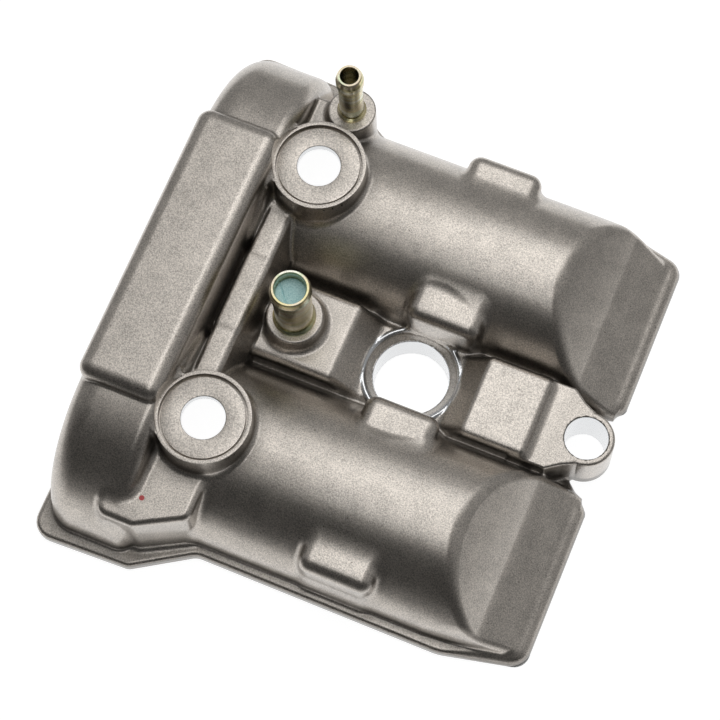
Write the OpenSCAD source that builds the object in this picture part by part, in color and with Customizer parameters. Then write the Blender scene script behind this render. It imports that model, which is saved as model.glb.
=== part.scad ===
// Valve cover of a twin-cam single-cylinder engine, lying on its gasket face.
// The origin is on the spark-plug bore at the gasket face, with +Z up.
// +X runs along the camshafts from the chain end to the lug end, +Y across them.

/* [Whole cover] */
// Width of the cover across the camshafts, at the chain end
cover_width = 197.6; // [193:0.2:210]

/* [Camshaft barrels] */
// Height of the camshaft axes above the gasket face
cam_z = 5; // [4:0.5:7]
// Outer radius of the barrel over each camshaft
barrel_r = 33; // [31:0.5:34]
// Wall thickness of the casting
wall = 3; // [2.5:0.1:3.5]
// Lean of the flat barrel ends, in mm along X for each mm of height
end_lean = 0.74; // [0.5:0.02:0.9]
// Height of the flat tops of the four cam-cap bumps
bump_top = 31; // [29:0.5:33]
// Length of a cam-cap bump along the camshaft
bump_len = 27; // [22:0.5:32]
// Middle of the bumps along the camshaft
bump_x = 4.5; // [0:0.5:8]
// Distance of an inner bump's wall from the camshaft axis
bump_inner = 33.2; // [33:0.1:34]
// Distance of an outer bump's wall from the camshaft axis
bump_outer = 32.4; // [31.5:0.1:33.6]
// Rounding of the bump edges
bump_edge = 4.5; // [3:0.5:6]

/* [Chain end] */
// Radius of the sprocket humps around the camshaft axes
hump_r = 45; // [43:0.5:46]
// Outer wall of the chain end, measured back from the plug bore
chain_back = 98.5; // [94:0.5:106]
// Inner wall of the chain end, measured back from the plug bore
chain_front = 68.5; // [66.5:0.5:69]
// Height of the raised box over the timing chain
box_top = 54.5; // [52:0.5:60]
// Half length of the raised box across the cover
box_half = 52.5; // [50:0.5:56]
// Rounding of the edges of the box
box_edge = 5; // [3:0.5:7]
// Rounding of the outer rims of the humps
hump_edge = 10; // [6:0.5:12]
// Rounding of the inner rims of the humps
hump_inner_edge = 5; // [3:0.5:6]
// Distance by which the humps stand out from the inner wall of the box
hump_step = 1.6; // [0.5:0.1:2.5]
// Height of the ridge beside the box
ridge_top = 35.5; // [33:0.5:38]
// Far side of the ridge, measured back from the plug bore
ridge_front = 57.6; // [56:0.2:59]
// Width of the slot between the box and the ridge
slot_w = 2.3; // [1.6:0.1:3]
// Height of the slot floor
slot_floor = 30; // [27:0.5:32]

/* [Flange] */
// Thickness of the flange
flange_h = 4.5; // [3.5:0.5:6]
// Width of the flange ledge along the barrels
side_ledge = 3.4; // [3:0.1:5]
// Width of the flange ledge beside the humps
chain_ledge = 5.6; // [5:0.1:7]
// Width of the flange ledge behind the chain end
back_ledge = 3.5; // [3:0.1:5]
// Edge of the flange at the lug end, measured from the plug bore
nose_x = 73; // [71:0.5:78]
// Distance from the flange edge back to the foot of the barrel ends
nose_ledge = 10; // [9:0.5:12]
// Radius of the hollow blend between the barrel ends and the flange
nose_blend_r = 9; // [6:0.5:10]
// Bevel of the flange's upper edge
flange_bevel = 1.4; // [0.8:0.1:2]
// Width of the gasket groove
groove_w = 2.8; // [2:0.1:3.2]
// Depth of the gasket groove
groove_d = 2.2; // [1.5:0.1:3]
// Land between the flange edge and the gasket groove
groove_land = 1.8; // [1.5:0.1:2.2]

/* [Bolt bosses] */
// Middle of the two tall bosses, measured back from the plug bore
boss_x = 54; // [53:0.5:56]
// Distance by which the tall bosses stand outside the camshaft axes
boss_offset = 0.8; // [-1:0.2:3]
// Height of the tall bosses
boss_top = 46; // [44:0.5:48]
// Radius of the bolt holes
bolt_r = 7.5; // [6:0.25:8]
// Radius inside the thin rim of a tall boss
seat_r = 14.9; // [13.5:0.1:15.5]
// Width of the rim of a tall boss
rim_w = 1.5; // [1.2:0.1:2.5]
// Depth of the seal seat below the rim
seat_d = 1; // [0.5:0.1:2]
// Width of the groove round the seat
seat_groove_w = 0.7; // [0.5:0.1:1.2]
// Depth of the groove round the seat
seat_groove_d = 2; // [1:0.25:2.5]
// Thickness of the seat plate under the seal
seat_plate = 3.2; // [3.2:0.1:4.5]
// Outward draft of the tall bosses from rim to foot
boss_draft = 1.2; // [0.5:0.1:2]

/* [Lug] */
// Distance of the lug's bolt hole from the plug bore
lug_x = 64.4; // [63:0.2:66]
// Height of the lug's flat top
lug_top = 19.5; // [17:0.5:20.5]
// Wall round the lug's bolt hole
lug_wall = 2.3; // [2:0.1:3.5]

/* [Plug well] */
// Radius of the spark-plug bore
plug_r = 13.25; // [12:0.25:13.5]
// Height of the ledge round the top of the plug bore
plug_ledge = 8.5; // [7:0.5:10]
// Radius of the well at its ledge
well_low_r = 14.4; // [14.2:0.1:14.8]
// Radius of the well just under its rim
well_r = 15.6; // [15.2:0.1:16]
// Radius of the rounded rim of the well
well_rim_r = 17; // [16.6:0.1:17.4]
// Height of the rim of the well
well_top = 15; // [14:0.5:16]
// Radius of the sealing ring under the well
well_ring_r = 19; // [18:0.25:20]

/* [Middle deck] */
// Half width of the raised decks between the barrels
deck_half = 15.5; // [15.4:0.1:16]
// Height of the breather deck
breather_deck = 23.5; // [22:0.5:25]
// Edge of the breather deck, measured back from the plug bore
breather_edge = 24.4; // [23:0.2:26]
// Height of the deck between the plug well and the lug
lug_deck = 22; // [21:0.5:23.5]
// Near edge of the lug deck
lug_deck_near = 24.3; // [23:0.1:26]
// Far edge of the lug deck
lug_deck_far = 46.3; // [45:0.1:47]

/* [Hose unions] */
// Middle of the breather union, measured back from the plug bore
breather_x = 43; // [42:0.2:44]
// Top of the breather union's boss
breather_boss_top = 30; // [28:0.5:32]
// Radius of the breather union's boss
breather_boss_r = 10; // [9:0.25:10.5]
// Outer radius of the breather union's tube
breather_tube_r = 6.65; // [6:0.05:7]
// Height of the breather union's bead over its tube
breather_bead = 0.55; // [0.3:0.05:0.9]
// Length of the breather union above its boss
breather_len = 26.7; // [22:0.1:30]
// Middle of the air union, measured back from the plug bore
air_x = 53; // [52:0.2:54]
// Distance of the air union from the camshaft axis
air_offset = 27.3; // [26.5:0.1:28]
// Top of the air union's boss
air_boss_top = 38.5; // [36:0.5:40]
// Radius of the air union's boss
air_boss_r = 8.5; // [8:0.1:9]
// Outer radius of the air union's tube
air_tube_r = 4.25; // [3.8:0.05:4.8]
// Height of the air union's bead over its tube
air_bead = 0.6; // [0.3:0.05:0.9]
// Length of the air union above its boss
air_len = 26.6; // [22:0.1:30]
// Wall of both tubes
tube_wall = 1.25; // [1:0.05:1.5]
// Depth of the plug's face below the rim of the breather union
plug_depth = 4.5; // [3:0.5:8]
// Length of the plug in the breather union
plug_len = 7; // [5:0.5:10]
// Depth of the slit across the face of the plug
slit_d = 0.5; // [0.3:0.1:0.8]
// Width of the slit across the face of the plug
slit_w = 0.5; // [0.3:0.1:1]
// Distance of the slit from the middle of the plug
slit_offset = 2.5; // [0:0.1:3.5]
// Turn of the slit about the plug's axis
slit_turn = -52; // [-90:1:90]
// Depth to which the unions are pressed in
press_depth = 6; // [4:0.25:6.5]
// Clearance between a union and its hole, and between the baffle and its seat
fit = 0.02; // [0.01:0.01:0.1]

/* [Breather baffle] */
// Thickness of the baffle plate
baffle_t = 1.2; // [0.8:0.1:1.5]
// Height of the strip of plate that is folded down
baffle_fold = 2.2; // [1.5:0.1:2.4]
// Thread radius of the baffle screws
screw_r = 2; // [1.5:0.25:2.5]
// Head radius of the baffle screws
screw_head_r = 3.6; // [3:0.1:4]
// Head height of the baffle screws
screw_head_h = 2.2; // [1.6:0.1:2.4]
// Length of a baffle screw under its head
screw_len = 9; // [6:0.5:10]

// Radius of the drain hole in the baffle plate
drain_r = 2; // [1.5:0.25:3]

/* [Pads] */
// Height of the flat pads beside the tall bosses
pad_top = 34; // [33:0.5:36]
// Length of the near pad along the camshafts
near_pad_len = 31; // [28:0.5:33]
// Distance of the near pad's outer wall from the camshaft axis
near_pad_out = 41.4; // [40:0.2:43]
// Rounding of the near pad's upper edge
near_pad_edge = 2.5; // [1.5:0.1:3.5]

/* [Hidden] */
$fn = 96;
// Depth by which cutting and joining shapes run past a face
over = 1;
// Number of steps in the rounding of an outline corner
steps = 6;
cover_half = cover_width / 2;
cam_y = cover_half - hump_r - chain_ledge;
boss_y = cam_y + boss_offset;
air_y = cam_y + air_offset;
side_y = cam_y + barrel_r + side_ledge;
flange_back = chain_back + back_ledge;
barrel_top = cam_z + barrel_r;
end_foot = nose_x - nose_ledge;
blend_reach = nose_blend_r * 0.65;
wall_y = cam_y + barrel_r;
hump_front = chain_front - hump_step;
boss_r = seat_r + rim_w;
lug_r = bolt_r + lug_wall;
rim_back = chain_front - slot_w;
ridge_foot = ridge_front - 4;
near_pad_back = chain_front + 8.9;
near_pad_front = near_pad_back - near_pad_len;
slope_foot_x = well_rim_r - 0.6;
chamber_back = ridge_foot - wall;
chamber_front = breather_edge - 2;
chamber_half = deck_half - wall;
baffle_top = cam_z;
baffle_z = baffle_top - baffle_t;
screw_boss_r = screw_r + 2.2;
screw_back = chamber_back - screw_boss_r - 0.2;
screw_front = chamber_front + screw_boss_r + 0.2;
screw_y = chamber_half - screw_boss_r - 0.2;
// Size of the blocks that cut away whole sides
reach = 2 * cover_width;
cast_color = [0.52, 0.48, 0.42];
zinc_color = [0.74, 0.66, 0.38];
plate_color = [0.7, 0.7, 0.66];
plug_color = [0.5, 0.75, 0.74];

// Points of an outline whose corners, given as [x, y, radius], are rounded
function corner_points(a, b, c) =
    let (
        to_a = ([a.x, a.y] - [b.x, b.y]) / norm([a.x - b.x, a.y - b.y]),
        to_c = ([c.x, c.y] - [b.x, b.y]) / norm([c.x - b.x, c.y - b.y]),
        half = acos(to_a * to_c) / 2,
        reach = b[2] / tan(half),
        bisector = (to_a + to_c) / norm(to_a + to_c),
        middle = [b.x, b.y] + bisector * b[2] / sin(half),
        start = [b.x, b.y] + to_a * reach - middle,
        finish = [b.x, b.y] + to_c * reach - middle,
        sweep = acos(min(1, max(-1, start * finish / (b[2] * b[2])))),
        turn = sign(start.x * finish.y - start.y * finish.x)
    )
    b[2] == 0 ? [[b.x, b.y]]
    : [for (i = [0 : steps])
        let (angle = turn * sweep * i / steps)
        middle + [start.x * cos(angle) - start.y * sin(angle), start.x * sin(angle) + start.y * cos(angle)]];

function rounded(points) =
    let (n = len(points))
    [for (i = [0 : n - 1]) each corner_points(points[(i + n - 1) % n], points[i], points[(i + 1) % n])];

// The same corners on the other side of the middle of the cover, in reverse order
function across(points) = [for (i = [len(points) - 1 : -1 : 0]) [points[i].x, -points[i].y, points[i][2]]];

// Corners of the flange on the -Y side, from the chain end to the lug end
flange_side = [
    [-flange_back, -cover_half, 7],
    [-65.3, -cover_half + 1.4, 5],
    [-45, -side_y, 6],
    [nose_x - 29, -side_y, 20],
    [nose_x, -side_y + 6.6, 5.5],
    [nose_x, -19.5, 3],
    [lug_x - 4, -lug_r + 1.6, 0],
];

// Corners of the lug's flat top
lug_side = [
    [lug_deck_far - 4, -deck_half, 0],
    [lug_deck_far + 8.6, -deck_half, 0],
    [lug_x - 4.6, -lug_r - 2.2, 4],
];

// Stretches a section that is drawn in X and Z across the cover
module across_cover(half) rotate([90, 0, 0]) linear_extrude(2 * half, center = true) children();

// Stretches a section that is drawn in Y and Z along the camshafts
module along_cams(from, to) translate([from, 0, 0]) rotate([90, 0, 90]) linear_extrude(to - from) children();

module both_sides() {
    children();
    mirror([0, 1, 0]) children();
}

module flange_outline() {
    polygon(rounded(concat(flange_side, across(flange_side))));
}

module lug_outline() {
    translate([lug_x, 0]) circle(lug_r);
    polygon(rounded(concat(lug_side, [[lug_x, -lug_r, 0]], [[lug_x, lug_r, 0]], across(lug_side))));
}

// Flange with a bevelled upper edge, cut from its outline
module flange() {
    linear_extrude(flange_h - flange_bevel) flange_outline();
    linear_extrude(flange_h - flange_bevel / 2) offset(delta = -flange_bevel * 0.4) flange_outline();
    linear_extrude(flange_h) offset(delta = -flange_bevel) flange_outline();
}

// Outline of the walls above the flange, which draw in towards the lug end
module wall_outline() {
    polygon([
        [-chain_back, -wall_y - 2],
        [nose_x - 33, -wall_y - 0.6],
        each corner_points([nose_x - 33, -wall_y - 0.6], [nose_x - 5.4, -wall_y + 5.2, 6], [nose_x - 5.4, 0]),
        each corner_points([nose_x - 5.4, 0], [nose_x - 5.4, wall_y - 5.2, 6], [nose_x - 33, wall_y + 0.6]),
        [nose_x - 33, wall_y + 0.6],
        [-chain_back, wall_y + 2],
    ]);
}

// One camshaft barrel of radius r, whose end leans back by end_lean
module barrel(r, back, inset) {
    drop = inset * sqrt(1 + end_lean * end_lean);
    difference() {
        intersection() {
            translate([-back, cam_y, cam_z]) rotate([0, 90, 0]) cylinder(r = r, h = back + nose_x);
            translate([0, 0, -wall_y]) linear_extrude(2 * wall_y) offset(delta = -inset) wall_outline();
        }
        rotate([90, 0, 0]) linear_extrude(reach, center = true) polygon([
            [end_foot - drop + end_lean * 2 * flange_h, -flange_h],
            [end_foot - drop - end_lean * reach, flange_h + reach],
            [nose_x + reach, flange_h + reach],
            [nose_x + reach, -flange_h],
        ]);
    }
}

// Hollow blend along the foot of one barrel end
module nose_blend() {
    intersection() {
        translate([0, cam_y + barrel_r - 1, 0]) rotate([90, 0, 0]) linear_extrude(2 * barrel_r - 3) polygon(rounded([
            [end_foot - end_lean * blend_reach, flange_h + blend_reach, 0],
            [end_foot, flange_h, nose_blend_r],
            [end_foot + blend_reach, flange_h, 0],
            [end_foot + blend_reach, flange_h - over, 0],
            [end_foot - end_lean * blend_reach, flange_h - over, 0],
        ]));
        linear_extrude(barrel_r) polygon(rounded([
            [0, 0, 0],
            [end_foot + blend_reach + over, 0, 0],
            [end_foot + blend_reach + over, wall_y - 3.2, 6],
            [nose_x - 33, wall_y + 0.6, 0],
            [0, wall_y + 0.6, 0],
        ]));
    }
}

// Disc over a cam sprocket, rounded on its outer rim and less so on its inner rim
module hump(r, back, front, outer_edge, inner_edge) {
    translate([-back, cam_y, cam_z]) rotate([0, 90, 0]) rotate_extrude() polygon(rounded([
        [0, 0, 0],
        [r, 0, outer_edge],
        [r, back - front, inner_edge],
        [0, back - front, 0],
    ]));
}

// Raised box over the timing chain, round on its edges and its corners
module chain_box(back, front, top, half, edge) {
    intersection() {
        linear_extrude(top) polygon(rounded([
            [-back, -half, edge], [-front, -half, edge], [-front, half, edge], [-back, half, edge],
        ]));
        across_cover(half) polygon(rounded([
            [-back, 0, 0], [-front, 0, 0], [-front, top, edge], [-back, top, edge],
        ]));
        along_cams(-back, -front) polygon(rounded([
            [-half, 0, 0], [half, 0, 0], [half, top, edge], [-half, top, edge],
        ]));
    }
}

// Ridge, slot and decks between the barrels, as one section from the box to the lug
module middle_section() {
    polygon(rounded([
        [-chain_front - wall, 0, 0],
        [-chain_front - wall, slot_floor, 0],
        [-rim_back, slot_floor, 0],
        [-rim_back, ridge_top, 1.1],
        [-ridge_front, ridge_top, 2.5],
        [-ridge_foot, breather_deck, 1.5],
        [-breather_edge, breather_deck, 1.5],
        [-slope_foot_x, well_top, 0],
        [slope_foot_x, well_top, 0],
        [lug_deck_near, lug_deck, 1.5],
        [lug_deck_far, lug_deck, 2.5],
        [lug_deck_far + 3.2, lug_top - 2, 0],
        [lug_deck_far + 3.2, 0, 0],
    ]));
}

// Ridge between the two tall bosses
module ridge_section() {
    polygon(rounded([
        [-chain_front - wall, 0, 0],
        [-chain_front - wall, slot_floor, 0],
        [-rim_back, slot_floor, 0],
        [-rim_back, ridge_top, 1.1],
        [-ridge_front, ridge_top, 2.5],
        [-ridge_foot, breather_deck, 0],
        [-ridge_foot, 0, 0],
    ]));
}

// One tall bolt boss without its hole, in its own axis
module bolt_boss() {
    rotate_extrude() polygon([
        [0, flange_h],
        [boss_r + boss_draft, flange_h],
        [boss_r, boss_top - 1],
        [boss_r, boss_top],
        [0, boss_top],
    ]);
}

// Flat webs at rim height that tie a tall boss to the box
module boss_webs() {
    translate([0, 0, boss_top - 14]) linear_extrude(14) polygon(rounded([
        [-chain_front - wall, -boss_y + 12, 0],
        [-chain_front - wall, -boss_y - 13, 0],
        [-chain_front + 0.4, -boss_y - 13, 0],
        [-boss_x - 8, -boss_y - 9, 3],
        [-boss_x - 8, -boss_y + 9, 3],
        [-chain_front + 0.4, -boss_y + 12, 0],
    ]));
}

// Outline of the flat pad between the hump, the barrel and the flange on the -Y side
module near_pad_outline() {
    polygon(rounded([
        [-chain_front - over, -boss_y, 0],
        [-chain_front - over, -cam_y - 20, 6],
        [-near_pad_back, -cam_y - 33, 4],
        [-near_pad_back, -cam_y - near_pad_out, 4],
        [-near_pad_back + 13.8, -cam_y - near_pad_out, 4],
        [-near_pad_front, -cam_y - 32, 4],
        [-near_pad_front, -boss_y, 0],
    ]));
}

// The pad itself, rounded over along its long edges
module near_pad() {
    intersection() {
        linear_extrude(pad_top) near_pad_outline();
        along_cams(-near_pad_back - over, -near_pad_front + over) polygon(rounded([
            [-cam_y - near_pad_out, 0, 0],
            [-boss_y, 0, 0],
            [-boss_y, pad_top, 0],
            [-cam_y - near_pad_out, pad_top, near_pad_edge],
        ]));
        across_cover(cover_half) polygon(rounded([
            [-near_pad_back, 0, 0],
            [-near_pad_front, 0, 0],
            [-near_pad_front, pad_top, near_pad_edge],
            [-near_pad_back, pad_top, near_pad_edge],
        ]));
    }
}

// Narrow flat pad beside the air union on the +Y side
module far_pad() {
    linear_extrude(pad_top) polygon(rounded([
        [-chain_front + 1.3, boss_y, 0],
        [-chain_front + 1.1, cam_y + 29.5, 1.5],
        [-air_x - 5, cam_y + 30.5, 0],
        [-boss_x - 2, boss_y, 0],
    ]));
}

// Cam-cap bump on one side of a barrel, rounded on its edges and its corners
module bump(side, reach, inset) {
    long = bump_len / 2 - inset;
    top = bump_top - inset;
    near = cam_y + side * 10;
    far = cam_y + side * (reach - inset);
    edge = max(bump_edge - inset, 1);
    intersection() {
        translate([0, 0, plug_ledge]) linear_extrude(top) polygon(rounded([
            [bump_x - long, near, 0], [bump_x - long, far, edge],
            [bump_x + long, far, edge], [bump_x + long, near, 0],
        ]));
        across_cover(cam_y * 2) polygon(rounded([
            [bump_x - long, 0, 0], [bump_x + long, 0, 0],
            [bump_x + long, top, edge], [bump_x - long, top, edge],
        ]));
        along_cams(bump_x - long - over, bump_x + long + over) polygon(rounded([
            [near, 0, 0], [far, 0, 0], [far, top, edge], [near, top, 0],
        ]));
    }
}

module bumps(inset) {
    bump(-1, bump_inner, inset);
    bump(1, bump_outer, inset);
}

// Everything that stands above the gasket face, without its hollow
module outer_body() {
    flange();
    both_sides() {
        barrel(barrel_r, chain_front + wall, 0);
        nose_blend();
        hump(hump_r, chain_back, hump_front, hump_edge, hump_inner_edge);
        translate([-boss_x, boss_y, 0]) bolt_boss();
        boss_webs();
    }
    chain_box(chain_back, chain_front, box_top, box_half, box_edge);
    across_cover(deck_half) middle_section();
    across_cover(boss_y - boss_r + 2) ridge_section();
    near_pad();
    far_pad();
    translate([-air_x, air_y, 0]) cylinder(r = air_boss_r, h = air_boss_top);
    translate([-breather_x, 0, 0]) cylinder(r1 = breather_boss_r + 2.4, r2 = breather_boss_r, h = breather_boss_top);
    linear_extrude(lug_top) lug_outline();
}

// Plug well above its ledge, cut before the bumps are added
module well_opening() {
    translate([0, 0, plug_ledge]) cylinder(r1 = well_low_r, r2 = well_r, h = well_top - plug_ledge - 0.7);
    translate([0, 0, well_top - 0.7]) cylinder(r1 = well_r, r2 = well_rim_r, h = 0.75);
    translate([0, 0, well_top]) cylinder(r = well_rim_r, h = 60);
}

// Hollow under the middle decks, ridge and slot
module middle_hollow() {
    across_cover(deck_half - wall) polygon([
        [-ridge_foot - over, -over],
        [-ridge_foot - over, breather_deck - wall],
        [-breather_edge - 1.5, breather_deck - wall],
        [-slope_foot_x - 2.4, well_top - wall],
        [slope_foot_x + 2.4, well_top - wall],
        [lug_deck_near + 1.5, lug_deck - wall],
        [lug_deck_far - wall, lug_deck - wall],
        [lug_deck_far - wall, -over],
    ]);
    across_cover(boss_y - boss_r - 1) polygon([
        [-chain_front - over, -over],
        [-chain_front - over, slot_floor - wall],
        [-rim_back + 0.6, slot_floor - wall],
        [-rim_back + wall, ridge_top - wall],
        [-ridge_front - 1.5, ridge_top - wall],
        [-ridge_foot - wall, breather_deck - wall],
        [-ridge_foot - wall, -over],
    ]);
}

// Hollow that clears the camshafts, the sprockets and the chain
module hollow() {
    both_sides() {
        barrel(barrel_r - wall, chain_back - wall, wall);
        hump(hump_r - wall, chain_back - wall, hump_front + wall, hump_edge - wall, hump_inner_edge - wall);
        bumps(wall);
        translate([-boss_x, boss_y, cam_z]) cylinder(r = seat_r - 1.5, h = boss_top - seat_d - seat_plate - cam_z);
    }
    chain_box(chain_back - wall, chain_front + wall, box_top - wall, box_half - wall, box_edge - wall + 0.5);
    translate([-chain_back + wall, -cam_y, -over]) cube([chain_back - chain_front - 2 * wall, 2 * cam_y, cam_z + over]);
    middle_hollow();
    translate([-chain_front - wall, -cam_y, -over]) cube([chain_front + lug_deck_far, 2 * cam_y, cam_z + over]);
    translate([0, 0, -over]) linear_extrude(pad_top - wall + over) difference() {
        offset(delta = -wall) near_pad_outline();
        translate([-chain_back, -boss_y - boss_r]) square([chain_back, boss_y]);
    }
}

// Tube that carries the plug well down to the gasket face
module well_tube() {
    rotate_extrude() polygon([
        [plug_r, 0],
        [well_ring_r, 0],
        [well_ring_r, 3],
        [well_r + wall, 6],
        [well_r + wall, well_top - 0.7],
        [well_r, well_top - 0.7],
        [well_low_r, plug_ledge],
        [plug_r, plug_ledge],
    ]);
}

// Wall of the breather chamber with the posts for the baffle screws
module breather_chamber() {
    roof = breather_deck - wall / 2;
    translate([0, 0, baffle_top + fit]) {
        difference() {
            translate([-ridge_foot, -deck_half + over / 2, 0])
                cube([ridge_foot - chamber_front + wall, 2 * deck_half - over, roof - baffle_top]);
            translate([-chamber_back, -chamber_half, -over])
                cube([chamber_back - chamber_front, 2 * chamber_half, roof - baffle_top + 2 * over]);
        }
        for (x = [-screw_back, -screw_front])
            for (y = [-screw_y, screw_y])
                translate([x, y, 0]) cylinder(r = screw_boss_r, h = roof - baffle_top);
    }
}

// Holes of the casting, each on its own axis
module holes() {
    both_sides() translate([-boss_x, boss_y, 0]) {
        translate([0, 0, cam_z]) cylinder(r = bolt_r, h = boss_top);
        translate([0, 0, boss_top - seat_d]) cylinder(r = seat_r, h = boss_top);
        translate([0, 0, boss_top - seat_d - seat_groove_d]) difference() {
            cylinder(r = seat_r, h = boss_top);
            translate([0, 0, -over]) cylinder(r = seat_r - seat_groove_w, h = boss_top + 2 * over);
        }
    }
    translate([lug_x, 0, -over]) cylinder(r = bolt_r, h = lug_top + 2 * over);
    translate([0, 0, -over]) cylinder(r = plug_r, h = well_top);
    translate([-breather_x, 0, breather_deck - 2 * wall]) cylinder(r = breather_tube_r - tube_wall, h = 30);
    translate([-breather_x, 0, breather_boss_top - press_depth - fit])
        cylinder(r = breather_tube_r + fit, h = press_depth + 2 * over);
    translate([-air_x, air_y, -over]) cylinder(r = air_tube_r - tube_wall, h = air_boss_top);
    translate([-air_x, air_y, air_boss_top - press_depth - fit])
        cylinder(r = air_tube_r + fit, h = press_depth + 2 * over);
    for (x = [-screw_back, -screw_front])
        for (y = [-screw_y, screw_y])
            translate([x, y, 0]) cylinder(r = screw_r + fit, h = baffle_top + screw_len - baffle_t + 1);
}

// Groove for the rubber gasket, which follows the edge of the flange
module gasket_groove() {
    translate([0, 0, -over]) linear_extrude(groove_d + over) difference() {
        offset(delta = -groove_land) flange_outline();
        offset(delta = -groove_land - groove_w) flange_outline();
    }
}

module cover_casting() {
    color(cast_color) difference() {
        union() {
            difference() {
                union() {
                    difference() {
                        outer_body();
                        well_opening();
                    }
                    both_sides() bumps(0);
                }
                hollow();
            }
            well_tube();
            breather_chamber();
        }
        holes();
        gasket_groove();
        translate([-reach / 2, -reach / 2, -reach]) cube(reach);
    }
}

// Turned hose union with a beaded tip, standing on its boss
module hose_union(r, len, seat, bead) {
    bore = r - tube_wall;
    translate([0, 0, seat]) rotate_extrude() polygon([
        [bore, -press_depth],
        [r, -press_depth],
        [r, 0],
        [r + 0.9, 0],
        [r + 0.9, 0.9],
        [r, 1.4],
        [r, len - 7.2],
        [r + bead, len - 5.4],
        [r + bead, len - 2.6],
        [r, len - 0.5],
        [r - 0.3, len],
        [bore + 0.3, len],
        [bore, len - 0.6],
    ]);
}

module breather_union() {
    color(zinc_color) translate([-breather_x, 0, 0]) hose_union(breather_tube_r, breather_len, breather_boss_top, breather_bead);
}

module air_union() {
    color(zinc_color) translate([-air_x, air_y, 0]) hose_union(air_tube_r, air_len, air_boss_top, air_bead);
}

// Soft plug in the mouth of the breather union, cup-shaped with a slit across its face
module union_plug() {
    plug_bore_r = breather_tube_r - tube_wall - fit;
    color(plug_color) translate([-breather_x, 0, breather_boss_top + breather_len - plug_depth]) difference() {
        rotate_extrude() polygon([
            [0, 0],
            [plug_bore_r - 0.3, 0],
            [plug_bore_r, -0.3],
            [plug_bore_r, -plug_len],
            [plug_bore_r - 1.2, -plug_len],
            [plug_bore_r - 1.2, -1.4],
            [0, -1.4],
        ]);
        rotate([0, 0, slit_turn]) translate([-plug_bore_r, -slit_offset - slit_w / 2, -slit_d])
            cube([2 * plug_bore_r, slit_w, slit_d + over]);
    }
}

// Folded plate that closes the breather chamber from below
module breather_baffle() {
    color(plate_color) difference() {
        union() {
            translate([-ridge_foot + 0.4, -deck_half + 0.9, baffle_z])
                cube([ridge_foot - chamber_front + wall - 0.8, 2 * deck_half - 1.8, baffle_t]);
            translate([-chamber_front + wall - 0.4 - baffle_t, -chamber_half, baffle_z - baffle_fold])
                cube([baffle_t, 2 * chamber_half, baffle_fold + baffle_t / 2]);
        }
        for (x = [-screw_back, -screw_front])
            for (y = [-screw_y, screw_y])
                translate([x, y, baffle_z - over]) cylinder(r = screw_r + 0.2, h = baffle_t + 2 * over);
        translate([-screw_back + screw_boss_r, 0, baffle_z - over]) cylinder(r = drain_r, h = baffle_t + 2 * over);
    }
}

module baffle_screw() {
    rotate_extrude() polygon([
        [0, -screw_head_h],
        [screw_head_r - 0.8, -screw_head_h],
        [screw_head_r, -screw_head_h + 0.8],
        [screw_head_r, 0],
        [screw_r, 0],
        [screw_r, screw_len - 0.6],
        [screw_r - 0.6, screw_len],
        [0, screw_len],
    ]);
}

module baffle_screws() {
    color(zinc_color)
        for (x = [-screw_back, -screw_front])
            for (y = [-screw_y, screw_y])
                translate([x, y, baffle_z]) baffle_screw();
}

cover_casting();
breather_union();
air_union();
union_plug();
breather_baffle();
baffle_screws();
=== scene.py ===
# Engine valve cover, dressed: a bronze-painted casting with machined bolt seats, two plated hose unions, a
# soft plug and the parts of the breather underneath. Lengths are in millimetres, but in metres in the studio,
# in materials and in finished meshes.
from concurrent.futures import ThreadPoolExecutor

import bpy
import bmesh
import numpy as np
from mathutils import Matrix, Vector


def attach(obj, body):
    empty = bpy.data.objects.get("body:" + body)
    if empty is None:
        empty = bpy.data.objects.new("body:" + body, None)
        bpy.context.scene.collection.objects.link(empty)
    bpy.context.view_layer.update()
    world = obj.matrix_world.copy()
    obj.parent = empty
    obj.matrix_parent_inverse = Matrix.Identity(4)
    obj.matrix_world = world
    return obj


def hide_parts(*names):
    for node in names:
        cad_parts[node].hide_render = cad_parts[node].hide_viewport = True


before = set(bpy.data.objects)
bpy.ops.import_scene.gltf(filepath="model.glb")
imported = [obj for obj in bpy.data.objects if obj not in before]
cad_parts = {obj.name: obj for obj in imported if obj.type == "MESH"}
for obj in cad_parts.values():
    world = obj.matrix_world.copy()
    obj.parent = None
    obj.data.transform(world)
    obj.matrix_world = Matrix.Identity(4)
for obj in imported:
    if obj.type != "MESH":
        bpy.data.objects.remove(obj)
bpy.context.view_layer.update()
MM = 0.001

# The studio: a pale floor, a pale backdrop and three soft lamps, with the camera high over the cover's near
# side. The camera's place and turn were worked out from the holes, rims and edges of the cover.
camera_place = Vector((98.897, -227.398, 740.783)) * MM
camera_right = Vector((0.92241, 0.38509, -0.02939))
camera_forward = Vector((-0.15264, 0.29360, -0.94366))
focal_pixels, image_width, sensor_width = 2215.634, 720, 36
nearest_seen = 0.01


def aimed(place, right, forward):
    """Matrix of a camera or lamp at place, which looks along forward with right to its right. Its axes are
    the direction back, the one up as back crossed with right, and the one aside as up crossed with back."""
    back = -forward.normalized()
    up = back.cross(right).normalized()
    side = up.cross(back)
    return Matrix.Translation(place) @ Matrix((side, up, back)).transposed().to_4x4()


camera_data = bpy.data.cameras.new("camera")
camera_data.sensor_width = sensor_width
camera_data.lens = focal_pixels / image_width * sensor_width
camera_data.clip_start = nearest_seen
camera = bpy.data.objects.new("camera", camera_data)
camera.matrix_world = aimed(camera_place, camera_right, camera_forward)
bpy.context.scene.collection.objects.link(camera)
bpy.context.scene.camera = camera


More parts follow.
